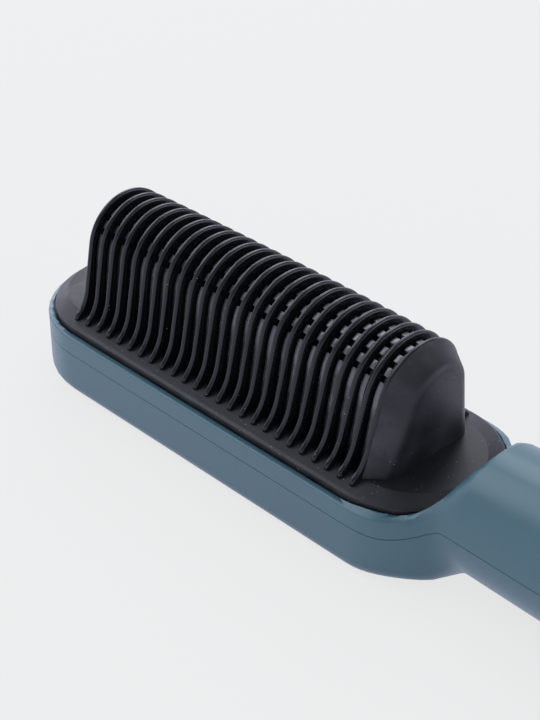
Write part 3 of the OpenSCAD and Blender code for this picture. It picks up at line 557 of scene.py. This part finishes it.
def heated_fins():
    """The row of heated fins, none quite in the middle of its gap."""
    chance = random.Random(PLAY_SEED)
    first = heated_fin()
    row = [first] + [twin(first, f"heat_{i}") for i in range(1, GAPS)]
    for i, fin in enumerate(row):
        edit(fin)
        bpy.ops.mesh.select_all(action="SELECT")
        place = (i + 0.5 - GAPS / 2) * PITCH
        move(x=place + chance.uniform(-HEAT_PLAY, HEAT_PLAY), y=chance.uniform(-HEAT_PLAY, HEAT_PLAY))
        choose(fin, "VERT", lambda v: v.co.z > FLARE_Z * MM)
        move(z=-HEAT_DROP * (1 - i / GAPS))
        choose(fin, "VERT", lambda v: v.co.z > BASE_TOP * MM)
        splay(COMB_X + place, (2 * i + 1) / GAPS - 1)
    return join("heated_fins", row)


def heated_base():
    """Plate that carries the heated fins, with its six screw holes underneath."""
    half_l = ROW_L / 2 + BASE_PAST
    under_z = BASE_TOP - BASE_T
    base = block("heated_base", (COMB_X - half_l, -BASE_W / 2, under_z),
                 (COMB_X + half_l, BASE_W / 2, BASE_TOP))
    edit(base)
    soften(base, BASE_ROUND, 2)
    holes = [rod(f"hole_{x}_{y}", COMB_X + x * HOLE_X, y * HOLE_Y, under_z - PAST,
                 under_z + HOLE_DEPTH, HOLE_R, sides=24) for x in (-1, 0, 1) for y in (-1, 1)]
    cut(base, join("holes", holes))
    return base


# ---------------------------------------------------------------- housing

def at_outer_seam(edge):
    """Whether an edge runs along the outside of the seam between the two halves."""
    if len(edge.link_faces) != 2 or bend(edge) < SEAM_TURN:
        return False
    place = middle(edge)
    flat = [f for f in edge.link_faces if abs(f.normal.z) > LEVEL]
    wall = [f for f in edge.link_faces if abs(f.normal.z) <= LEVEL]
    if len(flat) != 1 or len(wall) != 1 or not SEAM_FROM < place.z < SEAM_TO:
        return False
    out = wall[0].normal.x * min(place.x - FRONT_X, 0) + wall[0].normal.y * place.y
    return out > 0


def housing_half(node, name):
    """Half of the housing with its coplanar facets merged and a fine chamfer along the seam."""
    shell = frame["nodes"][node].copy()
    shell.data = shell.data.copy()
    shell.name = shell.data.name = name
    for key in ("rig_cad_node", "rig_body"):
        del shell[key]
    shell.parent = None
    bpy.context.collection.objects.link(shell)
    edit(shell)
    bpy.ops.mesh.select_all(action="SELECT")
    bpy.ops.mesh.remove_doubles(threshold=WELD * MM)
    bpy.ops.mesh.dissolve_limited(angle_limit=FLAT_ANGLE)
    choose(shell, "EDGE", at_outer_seam)
    bpy.ops.mesh.bevel(offset=SEAM_CHAMFER * MM, segments=1, affect="EDGES", clamp_overlap=True)
    return shell


def wider_pocket(shell):
    """Widens the gap between the guard's edge and the housing, and in front of the shoulder."""
    radius = POCKET_R + GAP_MORE
    top_r = radius + SHOULDER_TALL * SHOULDER_DRAFT
    cut(shell, block("straight", (FRONT_X, -radius, LEDGE_Z), (REAR_X, radius, RIM_Z + PAST)))
    cut(shell, rod("front_end", FRONT_X, 0, LEDGE_Z, RIM_Z + PAST, radius, END_SIDES))
    cut(shell, rod("rear_end", REAR_X, 0, LEDGE_Z, RIM_Z + RIM_OVERCUT, radius, END_SIDES))
    deselect()
    bpy.ops.mesh.primitive_cone_add(
        vertices=END_SIDES, radius1=radius * MM, radius2=top_r * MM, depth=SHOULDER_TALL * MM,
        location=mm(REAR_X, 0, RIM_Z + SHOULDER_TALL / 2))
    cut(shell, settle("shoulder_front"))


# ---------------------------------------------------------------- materials

MID_GREY = (0.5, 0.5, 0.5, 1)
NOISE_LOW, NOISE_HIGH = 0.3, 0.7         # where nearly all of a noise texture's values lie
GLOSS_SHARE = 0.8                        # share of the drift in tone that shows in the gloss
LINES = (60.0, 2400.0, 2400.0)           # brushed lines to a metre, along and across

DUST_TONE = (0.55, 0.56, 0.58, 1)
SPECKS = 900.0                           # cells that may hold a speck, to a metre
SPECK_CORE = 0.6                         # share of a speck that is solid
DUST_FADE = 0.75                         # share of its height where the dust starts to thin out
DUST_SPREAD = 0.25                       # how much more ground a full amount of dust takes
DUST_FROM, DUST_FULL = 0.60, 0.66
DUST_DULL = 0.3                          # roughness that a speck adds

SHARP_FROM, SHARP_FULL = 0.5, 0.6        # pointiness of a level face and of a rubbed edge
RUB_FROM, RUB_FULL = 0.35, 0.7

# Painted shade: the heated comb's glaze is darker low down, deep between the guard's fins, and worn to
# paler bare metal over the teeth
SHADED_GLAZE = (0.035, 0.035, 0.037, 1)
BARE = (0.125, 0.125, 0.135, 1)
SHADED_GLAZE_BELOW, BARE_ABOVE = 0.030, 0.038  # heights in metres from painted shade over the glaze, low down, to bare metal at the teeth
WEAR_AND_SHADE_BLUR = 0.007


def group(name, inputs, outputs):
    """Node group with named sockets, with what it is given and what it puts out."""
    tree = bpy.data.node_groups.new(name, "ShaderNodeTree")
    for label, kind, value in inputs:
        socket = tree.interface.new_socket(label, in_out="INPUT", socket_type="NodeSocket" + kind)
        socket.default_value = value
    for label, kind in outputs:
        tree.interface.new_socket(label, in_out="OUTPUT", socket_type="NodeSocket" + kind)
    return tree, tree.nodes.new("NodeGroupInput").outputs, tree.nodes.new("NodeGroupOutput").inputs


def add(tree, kind, links=(), **values):
    """Shader node with its settings, and what feeds its sockets."""
    node = tree.nodes.new("ShaderNode" + kind)
    for key, value in values.items():
        setattr(node, key, value)
    for socket, source in links:
        if hasattr(source, "is_linked"):
            tree.links.new(source, node.inputs[socket])
        else:
            node.inputs[socket].default_value = source
    return node


def ramp(tree, source, low, high, to_low=0.0, to_high=1.0):
    """Straight ramp of a value from low and high to two new values."""
    return add(tree, "MapRange", [("Value", source), ("From Min", low), ("From Max", high),
                                  ("To Min", to_low), ("To Max", to_high)]).outputs[0]


def maths(tree, operation, a, b):
    return add(tree, "Math", [(0, a), (1, b)], operation=operation).outputs[0]


def noise(tree, place, scale, detail):
    return add(tree, "TexNoise",
               [("Vector", place), ("Scale", scale), ("Detail", detail)]).outputs["Fac"]


def swing(tree, source, low=-1.0, high=1.0):
    """Noise, whose values keep near their middle, stretched to the whole range from low to high."""
    return ramp(tree, source, NOISE_LOW, NOISE_HIGH, low, high)


def tinted(tree, colour, shift):
    """Colour made brighter or darker by a share of itself."""
    return add(tree, "HueSaturation",
               [("Value", maths(tree, "ADD", shift, 1.0)), ("Color", colour)]).outputs["Color"]


def blend(tree, share, first, second):
    """Colour between two colours."""
    return add(tree, "Mix", [("Factor", share), (6, first), (7, second)], data_type="RGBA").outputs[2]


def mottle_group():
    """Fine moulding grain, with a slow drift of tone and of gloss."""
    tree, given, out = group("mottle", [
        ("Colour", "Color", MID_GREY), ("Drift", "Float", 0.06), ("Roughness", "Float", 0.5),
        ("Spread", "Float", 0.06), ("Grain", "Float", 1500.0)],
        [("Colour", "Color"), ("Roughness", "Float"), ("Height", "Float")])
    place = add(tree, "TexCoord").outputs["Object"]
    slow = noise(tree, place, scale=38.0, detail=3.0)
    fine = noise(tree, place, scale=given["Grain"], detail=2.0)
    shift = maths(tree, "MULTIPLY", swing(tree, slow), given["Drift"])
    uneven = maths(tree, "MULTIPLY", swing(tree, fine), given["Spread"])
    uneven = maths(tree, "ADD", uneven, maths(tree, "MULTIPLY", shift, GLOSS_SHARE))
    tree.links.new(tinted(tree, given["Colour"], shift), out["Colour"])
    tree.links.new(maths(tree, "ADD", given["Roughness"], uneven), out["Roughness"])
    tree.links.new(fine, out["Height"])
    return tree


def dust_group():
    """Scattered specks of pale dust."""
    tree, given, out = group("dust", [
        ("Colour", "Color", MID_GREY), ("Roughness", "Float", 0.5), ("Amount", "Float", 0.3),
        ("Size", "Float", 0.10), ("Up to", "Float", 0.026)],
        [("Colour", "Color"), ("Roughness", "Float")])
    place = add(tree, "TexCoord").outputs["Object"]
    speck = add(tree, "TexVoronoi", [("Vector", place), ("Scale", SPECKS)]).outputs["Distance"]
    patch = noise(tree, place, scale=260.0, detail=3.0)
    height = add(tree, "SeparateXYZ", [(0, place)]).outputs["Z"]
    settled = ramp(tree, height, given["Up to"], maths(tree, "MULTIPLY", given["Up to"], DUST_FADE))
    amount = maths(tree, "MULTIPLY", given["Amount"], settled)
    near = ramp(tree, maths(tree, "DIVIDE", speck, given["Size"]), 1.0, SPECK_CORE)
    where = maths(tree, "ADD", patch, maths(tree, "MULTIPLY", amount, DUST_SPREAD))
    mask = maths(tree, "MULTIPLY", near, ramp(tree, where, DUST_FROM, DUST_FULL))
    duller = maths(tree, "ADD", given["Roughness"], maths(tree, "MULTIPLY", mask, DUST_DULL))
    tree.links.new(blend(tree, mask, given["Colour"], DUST_TONE), out["Colour"])
    tree.links.new(duller, out["Roughness"])
    return tree


def worn_group():
    """Edges rubbed paler by use."""
    tree, given, out = group("worn edges", [
        ("Colour", "Color", MID_GREY), ("Rubbed", "Color", MID_GREY), ("Amount", "Float", 0.5)],
        [("Colour", "Color")])
    place = add(tree, "TexCoord").outputs["Object"]
    sharp = ramp(tree, add(tree, "NewGeometry").outputs["Pointiness"], SHARP_FROM, SHARP_FULL)
    rub = ramp(tree, noise(tree, place, scale=180.0, detail=4.0), RUB_FROM, RUB_FULL)
    mask = maths(tree, "MULTIPLY", maths(tree, "MULTIPLY", sharp, rub), given["Amount"])
    tree.links.new(blend(tree, mask, given["Colour"], given["Rubbed"]), out["Colour"])
    return tree


def brushed_group():
    """Fine lines along X from rolling or turning."""
    tree, given, out = group("brushed", [
        ("Colour", "Color", MID_GREY), ("Roughness", "Float", 0.3), ("Depth", "Float", 0.12)],
        [("Colour", "Color"), ("Roughness", "Float"), ("Height", "Float")])
    place = add(tree, "TexCoord").outputs["Object"]
    along = add(tree, "Mapping", [("Vector", place), ("Scale", LINES)]).outputs["Vector"]
    lines = noise(tree, along, scale=1.0, detail=3.0)
    shift = maths(tree, "MULTIPLY", swing(tree, lines), given["Depth"])
    tree.links.new(tinted(tree, given["Colour"], shift), out["Colour"])
    tree.links.new(maths(tree, "ADD", given["Roughness"], shift), out["Roughness"])
    tree.links.new(lines, out["Height"])
    return tree


MOTTLE = mottle_group()
DUST = dust_group()
WORN = worn_group()
BRUSHED = brushed_group()


def use(tree, effect, **links):
    """Places a shared effect and what feeds it."""
    node = tree.nodes.new("ShaderNodeGroup")
    node.node_tree = effect
    for label, source in links.items():
        if hasattr(source, "is_linked"):
            tree.links.new(source, node.inputs[label])
        else:
            node.inputs[label].default_value = source
    return node.outputs


def blank(name, **constants):
    """New material and its Principled shader, with the values that are the same all over."""
    material = bpy.data.materials.new(name)
    material.use_nodes = True
    shader = material.node_tree.nodes["Principled BSDF"]
    for label, value in constants.items():
        shader.inputs[label.replace("_", " ")].default_value = value
    return material, material.node_tree, shader.inputs


def finish_with(tree, shader, colour, roughness, height, depth):
    """Feeds the shader, and bumps it by depth millimetres."""
    tree.links.new(colour, shader["Base Color"])
    tree.links.new(roughness, shader["Roughness"])
    bump = add(tree, "Bump", [("Height", height), ("Strength", 1.0), ("Distance", depth * MM)])
    tree.links.new(bump.outputs["Normal"], shader["Normal"])


def moulded(name, colour, roughness, grain=1500.0, depth=0.01, drift=0.06, spread=0.05, dust=0.0,
            rubbed=None, amount=0.5, **constants):
    """Moulded plastic: grain and drift, and dust or rubbed edges where they show."""
    material, tree, shader = blank(name, **constants)
    base = (*colour, 1)
    if rubbed:
        base = use(tree, WORN, Colour=base, Rubbed=(*rubbed, 1), Amount=amount)["Colour"]
    made = use(tree, MOTTLE, Colour=base, Drift=drift, Roughness=roughness, Spread=spread, Grain=grain)
    tint, gloss = made["Colour"], made["Roughness"]
    if dust:
        dusty = use(tree, DUST, Colour=tint, Roughness=gloss, Amount=dust)
        tint, gloss = dusty["Colour"], dusty["Roughness"]
    finish_with(tree, shader, tint, gloss, made["Height"], depth)
    return material


def metal(name, colour, roughness, depth=0.004, lines=0.08):
    """Bare metal with fine lines."""
    material, tree, shader = blank(name, Metallic=1.0)
    made = use(tree, BRUSHED, Colour=(*colour, 1), Roughness=roughness, Depth=lines)
    finish_with(tree, shader, made["Colour"], made["Roughness"], made["Height"], depth)
    return material


def housing_plastic():
    return moulded("teal housing plastic", (0.062, 0.152, 0.194), roughness=0.45, grain=2200,
                   depth=0.006, drift=0.05, Coat_Weight=0.4, Coat_Roughness=0.25)


def guard_plastic():
    return moulded("black guard plastic", (0.0085, 0.0090, 0.0120), roughness=0.47, grain=1900,
                   depth=0.005, drift=0.10, dust=0.34, rubbed=(0.06, 0.062, 0.07), amount=0.7)


def fin_plastic():
    """The guard's plastic where hair has polished it."""
    return moulded("polished fin plastic", (0.0075, 0.0080, 0.0105), roughness=0.24, grain=1900,
                   depth=0.004, drift=0.10, spread=0.04, dust=0.34, Specular_IOR_Level=0.42)


def comb_coating():
    """Dark baked glaze on aluminium, worn through to the metal over the teeth, with painted shade that
    makes the fins darker towards the bottom.
    """
    material, tree, shader = blank("worn comb glaze with painted shade", Metallic=0.5, Coat_Weight=0.3, Coat_Roughness=0.1)
    place = add(tree, "TexCoord").outputs["Object"]
    height = add(tree, "SeparateXYZ", [(0, place)]).outputs["Z"]
    blotch = noise(tree, place, scale=150.0, detail=2.0)
    edge = maths(tree, "ADD", height, swing(tree, blotch, -WEAR_AND_SHADE_BLUR, WEAR_AND_SHADE_BLUR))
    # painted shade: darker towards the bottom, paler bare metal toward the teeth
    tone = blend(tree, ramp(tree, edge, SHADED_GLAZE_BELOW, BARE_ABOVE), SHADED_GLAZE, BARE)
    made = use(tree, MOTTLE, Colour=tone, Drift=0.2, Roughness=0.3, Spread=0.12, Grain=420.0)
    finish_with(tree, shader, made["Colour"], made["Roughness"], made["Height"], depth=0.08)
    return material


def heater_alumina():
    return moulded("alumina", (0.80, 0.78, 0.72), roughness=0.7, grain=2500, depth=0.004)


def mica():
    return moulded("mica sheet", (0.55, 0.44, 0.26), roughness=0.35, grain=500, depth=0.01, drift=0.25)


def bead_epoxy():
    return moulded("sensor bead", (0.45, 0.24, 0.07), roughness=0.2, grain=900)


def fuse_can():
    return metal("fuse can", (0.72, 0.72, 0.70), roughness=0.35)


def lead_sleeve(name, colour):
    return moulded(name, colour, roughness=0.5, grain=1200, depth=0.006, drift=0.08)


def board_mask():
    return moulded("solder mask", (0.012, 0.10, 0.03), roughness=0.3, grain=800, depth=0.01, drift=0.18)


def capacitor_case():
    return moulded("capacitor case", (0.62, 0.40, 0.05), roughness=0.28, grain=900)


def chip_case():
    return moulded("chip case", (0.02, 0.02, 0.022), roughness=0.55, grain=3000, depth=0.008)


def switch_case():
    return moulded("switch case", (0.12, 0.12, 0.13), roughness=0.5)


def plunger_plastic():
    return moulded("plunger plastic", (0.22, 0.06, 0.045), roughness=0.5)


def button_plastic():
    return moulded("button plastic", (0.085, 0.165, 0.20), roughness=0.38, grain=2200,
                   depth=0.004, drift=0.04, rubbed=(0.16, 0.26, 0.30), amount=0.3)


def bezel_plating():
    return metal("bezel plating", (0.78, 0.79, 0.81), roughness=0.12, depth=0.001, lines=0.03)


def light_diffuser():
    return moulded("light diffuser", (0.80, 0.82, 0.72), roughness=0.3)


def window_plastic():
    return moulded("window plastic", (0.74, 0.79, 0.80), roughness=0.25, grain=2600,
                   depth=0.003, drift=0.03)


def bush_acetal():
    return moulded("bush acetal", (0.07, 0.07, 0.078), roughness=0.42)


def gland_rubber():
    return moulded("gland rubber", (0.02, 0.02, 0.022), roughness=0.62, grain=1600,
                   depth=0.012, drift=0.12, dust=0.2)


def screw_zinc():
    return metal("zinc-plated screw", (0.55, 0.56, 0.58), roughness=0.32)


def clamp_steel():
    return metal("rolled sheet steel", (0.60, 0.61, 0.63), roughness=0.3)


def ring_brass():
    return metal("turned brass", (0.78, 0.56, 0.24), roughness=0.24)


def holder_resin():
    return moulded("heat-resistant resin", (0.66, 0.62, 0.53), roughness=0.55)


def brush_carbon():
    return moulded("sintered carbon", (0.04, 0.04, 0.042), roughness=0.6, grain=3000, depth=0.01)


def coat(material, *nodes):
    """Gives nodes of the model their finish."""
    for name in nodes:
        for place in frame["nodes"][name].material_slots:
            place.material = material


# ---------------------------------------------------------------- making

TEAL = housing_plastic()
BLACK = guard_plastic()
# the comb's glaze carries painted shade, darker towards the bottom
COATING_AND_SHADE = comb_coating()
POLISHED = fin_plastic()

plate = guard_plate()
cut(plate, deck_slots())
plate = join("guard_plate", [plate] + [guard_boss(x) for x in BOSS_X])
dress(smooth(plate, angle=9), "root", "guard_black", BLACK, "comb_guard")
dress(smooth(guard_fins(), angle=32), "root", "guard_black", POLISHED, "comb_guard")
dress(smooth(end_block(), angle=32), "root", "guard_black", BLACK, "comb_guard")
dress(smooth(heated_fins(), angle=32), "root", "comb_coating", COATING_AND_SHADE, "heating_comb")
dress(smooth(heated_base(), angle=32), "root", "comb_coating", COATING_AND_SHADE, "heating_comb")
upper = housing_half("upper_housing", "upper_shell")
wider_pocket(upper)
dress(even(smooth(upper, BLEND_ANGLE)), "root", "housing_teal", TEAL, "upper_housing")
lower = housing_half("lower_housing", "lower_shell")
dress(even(smooth(lower, BLEND_ANGLE)), "root", "housing_teal", TEAL, "lower_housing")

coat(heater_alumina(), "ceramic_heater")
coat(mica(), "mica_sheet")
coat(clamp_steel(), "heater_clamp")
coat(screw_zinc(), "clamp_screws", "board_screws", "housing_screws", "swivel_clip")
coat(bead_epoxy(), "thermistor")
coat(fuse_can(), "thermal_fuse")
coat(lead_sleeve("red sleeve", (0.45, 0.03, 0.025)), "heater_leads")
coat(lead_sleeve("yellow sleeve", (0.62, 0.48, 0.05)), "sensor_leads")
coat(lead_sleeve("blue sleeve", (0.05, 0.16, 0.42)), "supply_leads")
coat(board_mask(), "control_board")
coat(capacitor_case(), "power_capacitor")
coat(chip_case(), "triac")
coat(switch_case(), "tact_switch")
coat(plunger_plastic(), "switch_plunger")
coat(button_plastic(), "power_button")
coat(bezel_plating(), "button_bezel")
coat(light_diffuser(), "indicator_leds")
coat(window_plastic(), "indicator_lenses")
coat(bush_acetal(), "swivel_bush")
coat(gland_rubber(), "cord_swivel")
coat(ring_brass(), "slip_rings")
coat(holder_resin(), "brush_holder")
coat(brush_carbon(), "brush_contacts")


# ---------------------------------------------------------------- studio

PAPER = (0.864, 0.864, 0.864)
MIRRORED = (0.86, 0.86, 1.05)        # tone that polished surfaces mirror
PLAIN_LEVEL = 0.99
PLAIN_SHARE = 0.88                   # the rest of the floor takes light and shadow
AIR = (0.90, 0.935, 1.0)             # colour of the light from all round
CEILING = (0.22, 0.225, 0.275)
CEILING_FROM = (0.34, 0.58)          # sine of the height at which the walls darken
ROOM_LIGHT = 0.52
FLOOR_SIZE = 8
LOOK_AT = (-0.06, 0.0, 0.03)
CAMERA_AT = (0.17832, -0.23844, 0.24718)
FRAME_HEIGHT = 36                    # of the camera's frame, in millimetres
FOCAL_LENGTH = 87.72
NEAREST, FARTHEST = 0.01, 20


def seen_plainly(tree):
    """How far a ray shows or mirrors the surroundings, and the tone that it then meets."""
    path = add(tree, "LightPath").outputs
    direct = maths(tree, "MAXIMUM", path["Is Camera Ray"], path["Is Glossy Ray"])
    seen = maths(tree, "MAXIMUM", direct, path["Is Transmission Ray"])
    return seen, blend(tree, path["Is Glossy Ray"], (*PAPER, 1), (*MIRRORED, 1))


def paper_floor():
    """Plain pale floor that keeps a faint shadow."""
    deselect()
    bpy.ops.mesh.primitive_plane_add(size=FLOOR_SIZE, location=(0, 0, 0))
    floor = settle("floor")
    material, tree, shader = blank("pale paper", Roughness=0.9, Specular_IOR_Level=0.0)
    made = use(tree, MOTTLE, Colour=(*PAPER, 1), Drift=0.0, Roughness=0.9, Spread=0.02, Grain=60.0)
    finish_with(tree, shader, made["Colour"], made["Roughness"], made["Height"], depth=0.0)
    lit = tree.nodes["Principled BSDF"].outputs[0]
    seen, tone = seen_plainly(tree)
    plain = add(tree, "Emission", [("Color", tone), ("Strength", PLAIN_LEVEL)]).outputs[0]
    share = maths(tree, "MULTIPLY", seen, PLAIN_SHARE)
    mix = add(tree, "MixShader", [(0, share), (1, lit), (2, plain)])
    tree.links.new(mix.outputs[0], tree.nodes["Material Output"].inputs["Surface"])
    floor.data.materials.append(material)


def pale_room():
    """Pale room with a darker ceiling, which lights everything evenly."""
    world = bpy.data.worlds.new("pale room")
    bpy.context.scene.world = world
    world.use_nodes = True
    tree = world.node_tree
    tree.nodes.clear()
    way = add(tree, "TexCoord").outputs["Generated"]
    height = add(tree, "SeparateXYZ", [(0, way)]).outputs["Z"]
    seen, tone = seen_plainly(tree)
    wall = blend(tree, ramp(tree, height, *CEILING_FROM), tone, (*CEILING, 1))
    air = add(tree, "Background", [("Color", (*AIR, 1)), ("Strength", ROOM_LIGHT)])
    room = add(tree, "Background", [("Color", wall), ("Strength", 1.0)])
    mix = add(tree, "MixShader", [(0, seen), (1, air.outputs[0]), (2, room.outputs[0])])
    out = tree.nodes.new("ShaderNodeOutputWorld")
    tree.links.new(mix.outputs[0], out.inputs["Surface"])


def soft_box(name, at, width, height, power, colour):
    """Area lamp aimed at the comb."""
    light = bpy.data.lights.new(name, "AREA")
    light.shape = "RECTANGLE"
    light.size, light.size_y = width, height
    light.energy = power
    light.color = colour
    lamp = bpy.data.objects.new(name, light)
    bpy.context.collection.objects.link(lamp)
    lamp.location = at
    lamp.rotation_euler = (Vector(LOOK_AT) - Vector(at)).to_track_quat("-Z", "Y").to_euler()


def camera():
    """Long lens, high over the handle side."""
    right = Vector((0.697998618, 0.716098998, 0.000392600523))
    down = Vector((0.395668570, -0.385210431, -0.833702169))
    ahead = Vector((-0.596862054, 0.582078302, -0.552214215))
    lens = bpy.data.cameras.new("camera")
    lens.sensor_fit = "VERTICAL"
    lens.sensor_height = FRAME_HEIGHT
    lens.lens = FOCAL_LENGTH
    lens.clip_start = NEAREST
    lens.clip_end = FARTHEST
    view = bpy.data.objects.new("camera", lens)
    bpy.context.collection.objects.link(view)
    turn = Matrix((right, -down, -ahead)).transposed().to_4x4()
    view.matrix_world = Matrix.Translation(CAMERA_AT) @ turn
    bpy.context.scene.camera = view


paper_floor()
pale_room()
soft_box("left light", (-1.22, -0.42, 1.60), width=1.3, height=1.3, power=13.0, colour=(0.88, 0.91, 1.0))
soft_box("back light", (-0.80, 1.05, 1.56), width=1.1, height=1.1, power=11.0, colour=(0.90, 0.925, 1.0))
soft_box("far light", (-1.45, 0.50, 0.46), width=1.8, height=0.42, power=8.0, colour=(0.86, 0.89, 1.0))
soft_box("side light", (1.20, 0.85, 0.55), width=1.2, height=0.8, power=6.0, colour=(0.86, 0.90, 1.0))
camera()
bpy.context.scene.view_settings.view_transform = "Standard"
